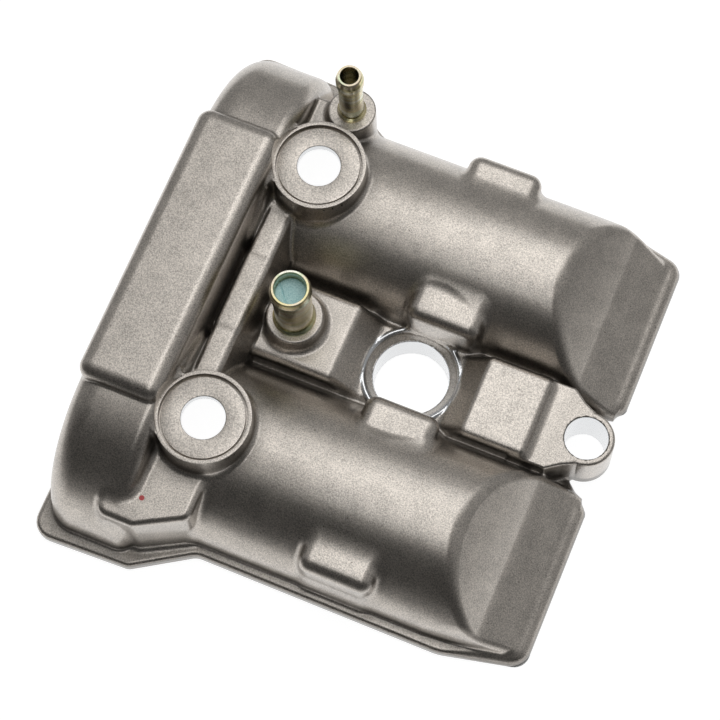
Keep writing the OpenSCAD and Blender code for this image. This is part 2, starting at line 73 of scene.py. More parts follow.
def wire(owner, node_type, values=(), **settings):
    """Adds a node to a material, world or group. Settings are its properties, and values are its inputs, each
    of them a constant or the socket that it is linked to."""
    tree = owner.node_tree if hasattr(owner, "node_tree") else owner
    node = tree.nodes.new(node_type)
    for name, value in settings.items():
        setattr(node, name, value)
    for name, value in dict(values).items():
        if isinstance(value, bpy.types.NodeSocket):
            tree.links.new(value, node.inputs[name])
        else:
            node.inputs[name].default_value = value
    return node


def worked_out(owner, operation, *values, **settings):
    """Result of a sum on one, two or three values, by a node."""
    return wire(owner, "ShaderNodeMath", enumerate(values), operation=operation, **settings).outputs[0]


def between(owner, value, low, high, at_low, at_high, **settings):
    """A number that goes from at_low to at_high as value goes from low to high, and stays level past them."""
    ends = {"Value": value, "From Min": low, "From Max": high, "To Min": at_low, "To Max": at_high}
    return wire(owner, "ShaderNodeMapRange", ends, **settings).outputs[0]


def empty_material(name):
    """A material with an empty node tree."""
    material = bpy.data.materials.new(name)
    material.use_nodes = True
    material.node_tree.nodes.clear()
    return material


floor_half, floor_cells, floor_drop = 3.0, 8, 0.0002
paper_tone, white = (0.3, 0.3, 0.3, 1), (1, 1, 1, 1)
pale_level, far_level = 0.93, 0.07
pale_centre, pale_half, pale_fade, pale_corner = (-0.0828, 0.0362, 0), 0.178, 0.03, 0.012


def pale_floor(name, turn):
    """Paper sheet that the camera sees as near white. Mirrors see it so in a square round pale_centre, turned
    as the camera is, and darker past its edge. The reach from the centre is the larger of the two along the
    square's sides. What the lamps light of the sheet is added, so that the object's shadow stays."""
    material = empty_material(name)
    rays = wire(material, "ShaderNodeLightPath").outputs
    mirrored = worked_out(material, "ADD", rays["Is Glossy Ray"], rays["Is Transmission Ray"], use_clamp=True)
    place = wire(material, "ShaderNodeTexCoord").outputs["Object"]
    turned_back = {"Vector": place, "Center": pale_centre, "Angle": -turn}
    place = wire(material, "ShaderNodeVectorRotate", turned_back).outputs[0]
    offset = wire(material, "ShaderNodeVectorMath", {0: place, 1: pale_centre}, operation="SUBTRACT")
    apart = wire(material, "ShaderNodeVectorMath", {0: offset.outputs[0]}, operation="ABSOLUTE")
    axes = wire(material, "ShaderNodeSeparateXYZ", {0: apart.outputs[0]}).outputs
    reach = worked_out(material, "SMOOTH_MAX", axes["X"], axes["Y"], pale_corner)
    tone = between(material, reach, pale_half, pale_half + pale_fade, pale_level, far_level,
                   interpolation_type="SMOOTHSTEP")
    tone = worked_out(material, "MULTIPLY", mirrored, tone)
    tone = worked_out(material, "MULTIPLY_ADD", rays["Is Camera Ray"], pale_level, tone)
    paper = wire(material, "ShaderNodeBsdfDiffuse", {"Color": paper_tone})
    glow = wire(material, "ShaderNodeEmission", {"Color": white, "Strength": tone})
    both = wire(material, "ShaderNodeAddShader", {0: paper.outputs[0], 1: glow.outputs[0]})
    wire(material, "ShaderNodeOutputMaterial", {"Surface": both.outputs[0]})
    return material


row = floor_cells + 1
across, along = np.meshgrid(np.linspace(-1, 1, row), np.linspace(-1, 1, row))
floor_points = [across * floor_half, along * floor_half, np.full_like(across, -floor_drop)]
floor_points = np.stack(floor_points, -1).reshape(-1, 3)
first = (np.arange(floor_cells)[:, None] * row + np.arange(floor_cells)).ravel()
floor_faces = np.stack([first, first + 1, first + row + 1, first + row], 1)
floor_mesh = bpy.data.meshes.new("floor")
floor_mesh.from_pydata(floor_points.tolist(), [], floor_faces.tolist())
floor_mesh.materials.append(pale_floor("studio_floor", np.arctan2(camera_right.y, camera_right.x)))
floor = bpy.data.objects.new("floor", floor_mesh)
bpy.context.scene.collection.objects.link(floor)

# The world: the camera sees it as near white, and it lights the object as a room with a dark near wall and a
# lighter far wall. A direction's Y says how far it points to the far wall.
near_wall, far_wall = 0.06, 0.34
near_until, far_from = -0.45, 0.1
world = bpy.data.worlds.new("studio")
world.use_nodes = True
world.node_tree.nodes.clear()
bpy.context.scene.world = world
toward = wire(world, "ShaderNodeTexCoord").outputs["Generated"]
toward = wire(world, "ShaderNodeSeparateXYZ", {0: toward}).outputs["Y"]
wall = between(world, toward, near_until, far_from, near_wall, far_wall, interpolation_type="SMOOTHSTEP")
seen = wire(world, "ShaderNodeLightPath").outputs["Is Camera Ray"]
shown = wire(world, "ShaderNodeMix", {"Factor": seen, "A": wall, "B": pale_level}).outputs[0]
sky = wire(world, "ShaderNodeBackground", {"Color": white, "Strength": shown})
wire(world, "ShaderNodeOutputWorld", {"Surface": sky.outputs[0]})

# The lamps: soft rectangles that hang level at one height. Each is given as x, y, width, length and power.
lamp_height = 0.56
lamps = {
    "lamp_over": (-0.01, 0.175, 0.16, 0.89, 0.74),
    "lamp_left": (-0.163, 0.2, 0.145, 0.4, 0.185),
    "lamp_right": (0.2, 0.375, 0.26, 0.35, 0.343),
}
for name, (lamp_x, lamp_y, width, length, power) in lamps.items():
    lamp = bpy.data.lights.new(name, "AREA")
    lamp.shape = "RECTANGLE"
    lamp.size = width
    lamp.size_y = length
    lamp.energy = power
    holder = bpy.data.objects.new(name, lamp)
    holder.matrix_world = aimed(Vector((lamp_x, lamp_y, lamp_height)), Vector((1, 0, 0)), Vector((0, 0, -1)))
    bpy.context.scene.collection.objects.link(holder)

# The casting: one pressure die casting of aluminium, painted bronze grey outside and left as cast inside. Two
# camshaft barrels, two sprocket humps and the chain box stand on a flange, with rounded roots and edges. Each
# form below is a distance, less than nought in the metal, and casting() joins them into one skin.


def rounded(corners, steps=8):
    """Points of an outline whose corners, given as (x, y, radius), are replaced by arcs that touch both
    sides. An arc's middle lies on the line that halves the corner, at the radius over the sine of half the
    corner's angle."""
    points = []
    for k, (x, y, radius) in enumerate(corners):
        here = np.array([x, y], float)
        if radius == 0:
            points.append(here)
            continue
        to_last = np.array(corners[k - 1][:2]) - here
        to_next = np.array(corners[(k + 1) % len(corners)][:2]) - here
        to_last, to_next = to_last / np.hypot(*to_last), to_next / np.hypot(*to_next)
        half = np.arccos(np.clip(to_last @ to_next, -1, 1)) / 2
        middle = here + (to_last + to_next) / np.hypot(*(to_last + to_next)) * radius / np.sin(half)
        start = here + to_last * radius / np.tan(half) - middle
        finish = here + to_next * radius / np.tan(half) - middle
        turn = np.arctan2(start[0] * finish[1] - start[1] * finish[0], start @ finish)
        for angle in np.linspace(0, turn, steps):
            arc_x = start[0] * np.cos(angle) - start[1] * np.sin(angle)
            arc_y = start[0] * np.sin(angle) + start[1] * np.cos(angle)
            points.append(middle + [arc_x, arc_y])
    return np.array(points)


def outline_distance(px, py, points):
    """Distance to a closed outline: the least of the distances to its edges, less than nought inside it,
    which is where a line to the right crosses an odd number of edges."""
    best, inside = np.inf, False
    for (ax, ay), (bx, by) in zip(points, np.roll(points, -1, 0)):
        ex, ey = bx - ax, by - ay
        share = np.clip(((px - ax) * ex + (py - ay) * ey) / (ex * ex + ey * ey), 0, 1)
        best = np.minimum(best, (px - ax - ex * share) ** 2 + (py - ay - ey * share) ** 2)
        if abs(ey) > 1e-9:
            inside = inside ^ (((ay > py) != (by > py)) & (px < ax + (py - ay) * ex / ey))
    return np.where(inside, -1, 1) * np.sqrt(best)


def join(a, b, radius):
    """Union of two distances with a hollow fillet of the given radius in the root between them. In the root
    it is the radius less the length of what the two distances are short of the radius."""
    short = np.hypot(np.maximum(radius - a, 0), np.maximum(radius - b, 0))
    return np.maximum(radius, np.minimum(a, b)) - short


def meet(a, b, radius):
    """Overlap of two distances with the edge between them rounded to the given radius. Near the edge it is
    the length of the two distances, each with the radius added, less the radius."""
    over = np.hypot(np.maximum(radius + a, 0), np.maximum(radius + b, 0))
    return np.minimum(-radius, np.maximum(a, b)) + over


chain_back, flange_h = 98.5, 4.5
cam_y, cam_z, barrel_r = 48.2, 5.0, 33.0
wall_half, wall_turn, back_inset = 81.8, 40, 4
side_slant, side_factor = 0.0101, 0.99995
end_slant, end_factor = 0.21, 0.9787
end_lean, end_start = 0.74, 66.33
toe_x, toe_tilt, toe_reach = 68.4, np.radians(38), 1.5
wall_corner_r, barrel_edge_r, end_edge_r, toe_root_r = 2, 3, 2.6, 0.5


def barrels_at(x, side, z, from_cam):
    """Overlap of a round about the camshaft, two slanted side walls and the leaning end face. The end face is
    a plane, joined at its toe by one that leans more."""
    side_wall = ((side - wall_half) + side_slant * (x - wall_turn)) * side_factor
    end_wall = ((side - wall_half) + end_slant * (x - wall_turn)) * end_factor
    walls = np.maximum(meet(side_wall, end_wall, wall_corner_r), -chain_back + back_inset - x)
    toe = np.sin(toe_tilt) * (x - toe_x) + np.cos(toe_tilt) * (z - flange_h)
    end_face = join((x + end_lean * z - end_start) / np.hypot(1, end_lean), toe, toe_root_r)
    barrels = meet(meet(from_cam - barrel_r, walls, barrel_edge_r), end_face, end_edge_r)
    return np.maximum(barrels, x - toe_x - toe_reach)


hump_front, hump_r, hump_back_r, hump_front_r = 66.9, 45.0, 10, 5
chain_front, box_top, box_half, box_edge_r = 68.5, 54.5, 52.5, 5
hump_root_r, barrel_root_r = 0.8, 3.0


def chain_end_at(x, side, z, from_cam):
    """Union of the sprocket humps, rounds about the camshafts, and the chain box, a round-edged block."""
    humps = meet(meet(from_cam - hump_r, -chain_back - x, hump_back_r), x + hump_front, hump_front_r)
    box = meet(np.maximum(-chain_back - x, x + chain_front), side - box_half, box_edge_r)
    return join(humps, meet(box, z - box_top, box_edge_r), hump_root_r)


flange_points = rounded([
    (-102, 98.8, 7), (-102, -98.8, 7), (-65.3, -97.4, 5), (-45, -84.6, 6), (44, -84.6, 20), (73, -78, 7.5),
    (73, -19.5, 5.5), (60.4, -8.2, 0), (60.4, 8.2, 0), (73, 19.5, 5.5), (73, 78, 6.5), (44, 84.6, 20),
    (-45, 84.6, 6), (-65.3, 97.4, 5),
])
flange_edge_r, nose_more_r, nose_start, nose_length, flange_root_r = 1.6, 2.2, 46, 14, 1.3


def flange_at(x, y, z):
    """Plate of the flange's outline, with an upper edge whose rounding grows along the nose."""
    nose = np.clip((x - nose_start) / nose_length, 0, 1)
    return meet(outline_distance(x, y, flange_points), z - flange_h, flange_edge_r + nose_more_r * nose)


slot_floor, ridge_top, ridge_front, rim_back, ridge_half = 30.0, 35.5, 57.6, 66.2, 34.6
deck_half, breather_deck, lug_deck, well_top = 15.5, 23.5, 22.0, 15.0
middle_edge_r, middle_root_r, ridge_edge_r, ridge_root_r = 3.2, 2.5, 1, 1.2
middle_corners = [
    (-71.5, -9, 0), (-71.5, slot_floor, 0), (-rim_back, slot_floor, 0.6), (-rim_back, ridge_top, 1.1),
    (-ridge_front, ridge_top, 2.5), (-53.6, breather_deck, 1.5), (-24.4, breather_deck, 3.5),
    (-15.6, well_top, 5), (15.6, well_top, 5), (24.3, lug_deck, 3), (46.3, lug_deck, 2.5), (49.5, 17.5, 0),
    (49.5, -9, 0),
]
middle_points = rounded(middle_corners)
ridge_points = rounded(middle_corners[:5] + [(-53.6, breather_deck, 0), (-53.6, -9, 0)])


def with_middle(body, x, side, z):
    """The body joined by the block between the barrels and by the ridge, two outlines in x and z that are
    carried along y to both sides."""
    middle = meet(outline_distance(x, z, middle_points), side - deck_half, middle_edge_r)
    ridge = meet(outline_distance(x, z, ridge_points), side - ridge_half, ridge_edge_r)
    return join(join(body, middle, middle_root_r), ridge, ridge_root_r)


lug_x, lug_top, lug_r, lug_edge_r, lug_root_r = 64.4, 19.5, 9.8, 1.0, 1.5
lug_points = rounded([
    (42.3, -15.5, 0), (54.9, -15.5, 0), (59.8, -12, 4), (lug_x, -lug_r, 0),
    (lug_x, lug_r, 0), (59.8, 12, 4), (54.9, 15.5, 0), (42.3, 15.5, 0),
])
pad_top, near_pad_edge_r, near_pad_root_r, far_pad_edge_r, far_pad_root_r = 34.0, 2.5, 2.5, 1.0, 1.5
near_pad_points = rounded([
    (-69.5, -49, 0), (-69.5, -68.2, 6), (-77.4, -81.2, 4), (-77.4, -89.6, 4), (-63.6, -89.6, 4),
    (-46.4, -80.2, 4), (-46.4, -49, 0),
])
far_pad_points = rounded([(-67.2, 49, 0), (-67.4, 77.7, 1.5), (-58, 78.7, 0), (-56, 49, 0)])


def with_lug_and_pads(body, x, y, z, from_lug):
    """The body joined by the bolt lug and the two pads, upright blocks with a rounded top edge."""
    lug = np.minimum(outline_distance(x, y, lug_points), from_lug - lug_r)
    body = join(body, meet(lug, z - lug_top, lug_edge_r), lug_root_r)
    near_pad = meet(outline_distance(x, y, near_pad_points), z - pad_top, near_pad_edge_r)
    far_pad = meet(outline_distance(x, y, far_pad_points), z - pad_top, far_pad_edge_r)
    return join(join(body, near_pad, near_pad_root_r), far_pad, far_pad_root_r)


plug_r, well_low_r, well_r, well_rim_r, well_floor = 13.25, 13.75, 15.9, 17.0, 12.2
bead_r, bead_thick, bead_z = 16.8, 1.0, 14.5
rim_edge_r, bead_root_r, well_edge_r = 0.8, 0.5, 0.4


def with_well(body, from_plug, z):
    """The body with the plug well: what stands over the rim is cut away, a round bead lies on the rim, and a
    cone goes down to the well's floor."""
    widening = (well_r - well_low_r) * (z - well_floor) / (well_top - well_floor)
    cone = np.maximum(from_plug - well_low_r - widening, well_floor - z)
    body = meet(body, -np.maximum(from_plug - well_rim_r, well_top - z), rim_edge_r)
    body = join(body, np.hypot(from_plug - bead_r, z - bead_z) - bead_thick, bead_root_r)
    return meet(body, -cone, well_edge_r)


bump_x, bump_half, bump_foot, bump_top, bump_edge_r, bump_root_r = 4.5, 13.5, 2, 31.0, 4.5, 2.5
inner_face, inner_back, outer_face, outer_back = 15.0, 38, 80.6, 58


def with_bumps(body, x, side, z):
    """The body joined by the cam-cap bumps, round-edged blocks on the inner and outer flank of a barrel."""
    for face, back in ((inner_face - side, side - inner_back), (side - outer_face, outer_back - side)):
        bump = meet(np.maximum(np.abs(x - bump_x) - bump_half, back), face, bump_edge_r)
        bump = meet(np.maximum(bump, bump_foot - z), z - bump_top, bump_edge_r)
        body = join(body, bump, bump_root_r)
    return body


air_x, air_y, air_boss_top, air_boss_r, air_root_r = -53.0, 75.5, 38.5, 8.5, 2.0
breather_x, breather_boss_top, breather_boss_r, breather_root_r = -43.0, 30.0, 10.0, 2.5
breather_draft, union_boss_edge_r = 0.08, 0.8


def with_union_bosses(body, x, y, z):
    """The body joined by the straight boss of the air union and the tapered boss of the breather union."""
    air = meet(np.hypot(x - air_x, y - air_y) - air_boss_r, z - air_boss_top, union_boss_edge_r)
    taper = breather_draft * (breather_boss_top - z)
    breather = np.hypot(x - breather_x, y) - breather_boss_r - taper
    breather = meet(breather, z - breather_boss_top, union_boss_edge_r)
    return join(join(body, air, air_root_r), breather, breather_root_r)


boss_x, boss_y, boss_top, boss_r, boss_draft = -54.0, 49.0, 46.0, 16.4, 0.03
web_x, web_half_x = -70.2, 1.8
near_web_y, near_web_half, far_web_y, far_web_half = 47.6, 10.4, 44.4, 8.3
web_root_r, boss_edge_r, boss_root_r = 3.5, 0.3, 2.0
pocket_r, pocket_floor = 15.8, 42.6


def with_bolt_bosses(body, x, y, z, side):
    """The body joined by the two tall bosses, tapered rounds with a web to the chain box, less the pockets
    that the turned seats fill."""
    from_bolt = np.hypot(x - boss_x, side - boss_y)
    web_y = np.where(y < 0, near_web_y, far_web_y)
    web_half = np.where(y < 0, near_web_half, far_web_half)
    web = np.maximum(np.abs(x - web_x) - web_half_x, np.abs(side - web_y) - web_half)
    boss = join(from_bolt - boss_r, web, web_root_r) - boss_draft * (boss_top - z)
    body = join(body, meet(boss, z - boss_top, boss_edge_r), boss_root_r)
    return np.maximum(body, -np.maximum(from_bolt - pocket_r, pocket_floor - z))


bolt_r, bore_edge_r = 7.5, 0.4


def casting(x, y, z):
    """Rounded distance to the painted outside of the casting: nought on the skin, less than nought in the
    metal. All forms are joined in turn, and the bores of the lug and the plug are cut last."""
    side = np.abs(y)
    from_cam = np.hypot(side - cam_y, np.maximum(z - cam_z, 0))
    from_lug = np.hypot(x - lug_x, y)
    from_plug = np.hypot(x, y)
    body = join(chain_end_at(x, side, z, from_cam), barrels_at(x, side, z, from_cam), barrel_root_r)
    body = join(body, flange_at(x, y, z), flange_root_r)
    body = with_middle(body, x, side, z)
    body = with_lug_and_pads(body, x, y, z, from_lug)
    body = with_well(body, from_plug, z)
    body = with_bumps(body, x, side, z)
    body = with_union_bosses(body, x, y, z)
    body = with_bolt_bosses(body, x, y, z, side)
    body = meet(body, bolt_r - from_lug, bore_edge_r)
    return meet(body, plug_r - from_plug, bore_edge_r)


slope_step, least_square = 0.02, 0.05


def slopes(x, y, z):
    """How fast the distance grows along x, y and z: its differences over a short step to both sides."""
    grown = []
    for dx, dy, dz in np.eye(3) * slope_step:
        grown.append(casting(x + dx, y + dy, z + dz) - casting(x - dx, y - dy, z - dz))
    return np.stack(grown, 1) / (2 * slope_step)


def settled(points, passes, reach):
    """Points moved onto the skin: each pass takes off the slope times the distance over the slope's square,
    and goes no further than reach."""
    for _ in range(passes):
        slope = slopes(*points.T)
        away = casting(*points.T)
        move = slope * (away / np.maximum((slope ** 2).sum(1), least_square))[:, None]
        length = np.sqrt((move ** 2).sum(1))[:, None]
        points = points - move * np.minimum(1, reach / np.maximum(length, 1e-9))
    return points


grid_low, grid_high = (-103.5, -100.5), (76, 101, 56.5)
slab_count, threads = 12, 4


def casting_field(xs, ys, zs):
    """The casting's distance at all points of a grid, worked out in slabs along x that run side by side."""
    def slab_field(part):
        """The distance in the slab that has these places along x."""
        grid = (part[:, None, None], ys[None, :, None], zs[None, None, :])
        return casting(*(places.astype(np.float32) for places in grid))

    with ThreadPoolExecutor(threads) as pool:
        slabs = list(pool.map(slab_field, np.array_split(xs, slab_count)))
    return np.concatenate(slabs, 0).astype(np.float32)


def skin_cells(cell):
    """Surface net of the casting: one point in each grid cell that the skin crosses, at the mean of its
    crossings, and one quad round each grid edge that the skin crosses. All cells are treated at once, as
    whole arrays."""
    xs = np.arange(grid_low[0], grid_high[0], cell)
    ys = np.arange(grid_low[1], grid_high[1], cell)
    zs = np.arange(-cell / 2, grid_high[2], cell)
    field = casting_field(xs, ys, zs)
    solid = field < 0
    corners = np.array([(i, j, k) for i in (0, 1) for j in (0, 1) for k in (0, 1)])
    count = np.zeros(np.array(field.shape) - 1, np.int8)
    for i, j, k in corners:
        count += solid[i:field.shape[0] - 1 + i, j:field.shape[1] - 1 + j, k:field.shape[2] - 1 + k]
    cells = np.argwhere((count > 0) & (count < 8))
    number = np.full(count.shape, -1, np.int32)
    number[tuple(cells.T)] = np.arange(len(cells))
    total, hits = np.zeros((len(cells), 3)), np.zeros(len(cells))
    for axis in range(3):
        for start in corners[corners[:, axis] == 0]:
            finish = start + np.eye(3, dtype=int)[axis]
            a, b = field[tuple((cells + start).T)], field[tuple((cells + finish).T)]
            crossed = (a < 0) != (b < 0)
            share = np.where(crossed, a / np.where(crossed, a - b, 1), 0)
            total += crossed[:, None] * (start + share[:, None] * np.eye(3)[axis])
            hits += crossed
    points = np.array([xs[0], ys[0], zs[0]]) + (cells + total / hits[:, None]) * cell
    quads = []
    for axis in range(3):
        one, two = (axis + 1) % 3, (axis + 2) % 3
        near, far = [slice(1, -1)] * 3, [slice(1, -1)] * 3
        near[axis], far[axis] = slice(0, -1), slice(1, None)
        a, b = solid[tuple(near)], solid[tuple(far)]
        edges = np.argwhere(a != b)
        outward = a[tuple(edges.T)]
        edges = edges + [0 if n == axis else 1 for n in range(3)]
        step = np.eye(3, dtype=int)
        ring = [edges - step[one] - step[two], edges - step[two], edges, edges - step[one]]
        quad = np.stack([number[tuple(place.T)] for place in ring], 1)
        quads.append(np.where(outward[:, None], quad, quad[:, ::-1]))
    return points, np.concatenate(quads)


def mesh_from(name, points, faces):
    """Smooth-faced mesh of points in millimetres."""
    mesh = bpy.data.meshes.new(name)
    mesh.from_pydata((np.asarray(points) * MM).tolist(), [], np.asarray(faces).tolist())
    mesh.polygons.foreach_set("use_smooth", np.ones(len(mesh.polygons), bool))
    return mesh


def points_of(mesh):
    """Vertices of a mesh in millimetres."""
    flat = np.empty(len(mesh.vertices) * 3, np.float32)
    mesh.vertices.foreach_get("co", flat)
    return flat.reshape(-1, 3).astype(float) / MM


def from_bolts(points):
    """Distance of points from the nearer upright axis of the two bolts."""
    return np.hypot(points[:, 0] - boss_x, np.abs(points[:, 1]) - boss_y)


# The painted skin: the net is settled on the casting's distance, loses its faces under the turned seats, is
# cut into triangles along the shorter diagonals, and is thinned.
cell = 0.6
kept_share = 0.36
settling_passes, under_seat_r, under_seat_depth = 3, 15, 1
net_points, net_quads = skin_cells(cell)
net_points = settled(net_points, settling_passes, cell / 2)
net_points[:, 2] = np.maximum(net_points[:, 2], 0)
middle_of = net_points[net_quads].mean(1)
near_pocket_floor = np.abs(middle_of[:, 2] - pocket_floor) < under_seat_depth
net_quads = net_quads[~((from_bolts(middle_of) < under_seat_r) & near_pocket_floor)]
diagonals = np.linalg.norm(net_points[net_quads[:, [0, 1]]] - net_points[net_quads[:, [2, 3]]], axis=2)
longer_first = (diagonals[:, 0] > diagonals[:, 1])[:, None]
net_quads = np.where(longer_first, np.roll(net_quads, 1, 1), net_quads)
net_triangles = np.concatenate([net_quads[:, [0, 1, 2]], net_quads[:, [0, 2, 3]]])
holder = bpy.data.objects.new("skin_net", mesh_from("skin_net", net_points, net_triangles))
bpy.context.scene.collection.objects.link(holder)
thin = holder.modifiers.new("thin", "DECIMATE")
thin.ratio = kept_share
skin = bpy.data.meshes.new_from_object(holder.evaluated_get(bpy.context.evaluated_depsgraph_get()))
bpy.data.objects.remove(holder)

# The inside: faces of the solid that lie at the foot or well under the skin, apart from the boss tops, which
# the turned seats replace. With the skin they make one shell.
merge_distance, foot_height = 1e-6, 0.01
corner_depth, centre_depth = 0.2, 1.2
boss_inside_r, boss_inside_top = 17, 41.85
inside = bmesh.new()
inside.from_mesh(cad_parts["cover_casting"].data)
bmesh.ops.remove_doubles(inside, verts=inside.verts, dist=merge_distance)
inner = bpy.data.meshes.new("inside")
inside.to_mesh(inner)
inside.free()
inner_points = points_of(inner)
inner_faces = np.array([face.vertices[:] for face in inner.polygons])
centres = inner_points[inner_faces].mean(1)
at_foot = inner_points[inner_faces][:, :, 2].max(1) < foot_height
at_boss_top = (from_bolts(centres) < boss_inside_r) & (centres[:, 2] > boss_inside_top)
deep = (casting(*inner_points.T) < -corner_depth)[inner_faces].all(1)
kept = at_foot | (deep & (casting(*centres.T) < -centre_depth) & ~at_boss_top)
skin_points = points_of(skin)
skin_faces = np.array([face.vertices[:] for face in skin.polygons])
shell_faces = np.concatenate([skin_faces, inner_faces[kept] + len(skin_points)])
shell = mesh_from("cover_casting_painted", np.concatenate([skin_points, inner_points]), shell_faces)
material_of = np.repeat([0, 1], [len(skin_faces), kept.sum()]).astype(np.int32)
shell.polygons.foreach_set("material_index", material_of)
used = bmesh.new()
used.from_mesh(shell)
bmesh.ops.delete(used, geom=[v for v in used.verts if not v.link_faces], context="VERTS")
used.to_mesh(shell)
used.free()

# The skin's normals follow the slope of the distance. The attribute hollow says how far other parts of the
# casting close a point in; the paint darkens by it as painted shade. It steps out along the normal by each
# reach, and takes the mean of the shares of the step by which the distance there falls short of it.
reaches = (1.5, 4, 9)
shell_points = points_of(shell)
face_of = np.array([face.vertices[:] for face in shell.polygons])
outside = np.zeros(len(shell_points), bool)
outside[face_of[:len(skin_faces)].ravel()] = True
slope = slopes(*shell_points[outside].T)
vertex_normals = np.zeros_like(shell_points)
vertex_normals[outside] = slope / np.linalg.norm(slope, axis=1)[:, None]
hollow = np.zeros(len(shell_points), np.float32)
for reach in reaches:
    free = casting(*(shell_points[outside] + vertex_normals[outside] * reach).T)
    hollow[outside] += np.clip(1 - free / reach, 0, 1) / len(reaches)
shell.attributes.new("hollow", "FLOAT", "POINT").data.foreach_set("value", hollow)
face_normals = np.empty(len(shell.polygons) * 3, np.float32)
shell.polygons.foreach_get("normal", face_normals)
corner_normals = np.repeat(face_normals.reshape(-1, 3), 3, 0).astype(float)
skin_corners = len(skin_faces) * 3
corner_normals[:skin_corners] = vertex_normals[face_of.ravel()[:skin_corners]]
shell.normals_split_custom_set(corner_normals.tolist())


def node_group(name, inputs, outputs):
    """An empty shader node group with named sockets, and its own input and output nodes."""
    group = bpy.data.node_groups.new(name, "ShaderNodeTree")
    for label, kind in inputs.items():
        group.interface.new_socket(name=label, in_out="INPUT", socket_type="NodeSocket" + kind)
    for label, kind in outputs.items():
        group.interface.new_socket(name=label, in_out="OUTPUT", socket_type="NodeSocket" + kind)
    return group, group.nodes.new("NodeGroupInput").outputs, group.nodes.new("NodeGroupOutput").inputs


def tinted(owner, share, base, tint):
    """The base colour, changed to tint where share is one."""
    values = {"Factor": share, "A": base, "B": tint}
    return wire(owner, "ShaderNodeMix", values, data_type="RGBA").outputs[2]


# Fine grain: noise of two sizes mixes a dark and a light tone, and the finer noise is the grain's height.
coarse_scale, coarse_share = 0.06, 0.3
grain_low, grain_high = 0.45, 0.85
fine_grain, given, result = node_group(
    "fine_grain", {"Place": "Vector", "Scale": "Float", "Dark": "Color", "Light": "Color"},
    {"Colour": "Color", "Height": "Float"})
fine_noise = {"Vector": given["Place"], "Scale": given["Scale"], "Detail": 1.0}
fine = wire(fine_grain, "ShaderNodeTexNoise", fine_noise).outputs["Fac"]
larger = worked_out(fine_grain, "MULTIPLY", given["Scale"], coarse_scale)
coarse_noise = {"Vector": given["Place"], "Scale": larger, "Detail": 2.0}
coarse = wire(fine_grain, "ShaderNodeTexNoise", coarse_noise).outputs["Fac"]
share = worked_out(fine_grain, "MULTIPLY_ADD", coarse, coarse_share, fine)
share = between(fine_grain, share, grain_low, grain_high, 0.0, 1.0)
fine_grain.links.new(tinted(fine_grain, share, given["Dark"], given["Light"]), result["Colour"])
fine_grain.links.new(fine, result["Height"])


def grained(material, place, scale, dark, light):
    """Colour and height of the fine grain at this scale, between a dark and a light tone."""
    values = {"Place": place, "Scale": scale, "Dark": dark, "Light": light}
    grain = wire(material, "ShaderNodeGroup", values, node_tree=fine_grain)
    return grain.outputs["Colour"], grain.outputs["Height"]


# Small pits: a few cells of a cell pattern, picked by their random colour, hold a round spot at their heart.
pit_heart, pit_rim = 0.06, 0.15
small_pits, given, result = node_group(
    "small_pits", {"Place": "Vector", "Scale": "Float", "Share": "Float"}, {"Mask": "Float"})
spots = wire(small_pits, "ShaderNodeTexVoronoi", {"Vector": given["Place"], "Scale": given["Scale"]})
lot = wire(small_pits, "ShaderNodeSeparateColor", {"Color": spots.outputs["Color"]}).outputs[0]
chosen = worked_out(small_pits, "LESS_THAN", lot, given["Share"])
near_heart = between(small_pits, spots.outputs["Distance"], pit_heart, pit_rim, 1.0, 0.0)
small_pits.links.new(worked_out(small_pits, "MULTIPLY", chosen, near_heart), result["Mask"])


def pitted(material, place, scale, share, base, tint):
    """The base colour with small pits of another tint in this share of the pattern's cells."""
    values = {"Place": place, "Scale": scale, "Share": share}
    pits = wire(material, "ShaderNodeGroup", values, node_tree=small_pits)
    return tinted(material, pits.outputs["Mask"], base, tint)


# Round spot: one within a radius of an upright axis through Centre and below a height, nought elsewhere.
round_spot, given, result = node_group(
    "round_spot", {"Place": "Vector", "Centre": "Vector", "Radius": "Float", "Top": "Float"},
    {"Mask": "Float"})
level = wire(round_spot, "ShaderNodeVectorMath", {0: given["Place"], 1: (1, 1, 0)}, operation="MULTIPLY")
both_ends = {0: level.outputs[0], 1: given["Centre"]}
apart = wire(round_spot, "ShaderNodeVectorMath", both_ends, operation="DISTANCE").outputs["Value"]
within = worked_out(round_spot, "LESS_THAN", apart, given["Radius"])
height = wire(round_spot, "ShaderNodeSeparateXYZ", {0: given["Place"]}).outputs["Z"]
below = worked_out(round_spot, "LESS_THAN", height, given["Top"])
round_spot.links.new(worked_out(round_spot, "MULTIPLY", within, below), result["Mask"])


def spot(material, place, x, y, radius, top):
    """Mask of a round spot, whose centre, radius and top are in millimetres."""
    values = {"Place": place, "Centre": (x * MM, y * MM, 0), "Radius": radius * MM, "Top": top * MM}
    return wire(material, "ShaderNodeGroup", values, node_tree=round_spot).outputs["Mask"]


def raised(material, height, strength, distance):
    """Normals of a bump of this height."""
    values = {"Height": height, "Strength": strength, "Distance": distance}
    return wire(material, "ShaderNodeBump", values).outputs[0]


def surfaced(material, values):
    """Gives a material its one shader, with these inputs."""
    shine = wire(material, "ShaderNodeBsdfPrincipled", values)
    wire(material, "ShaderNodeOutputMaterial", {"Surface": shine.outputs[0]})
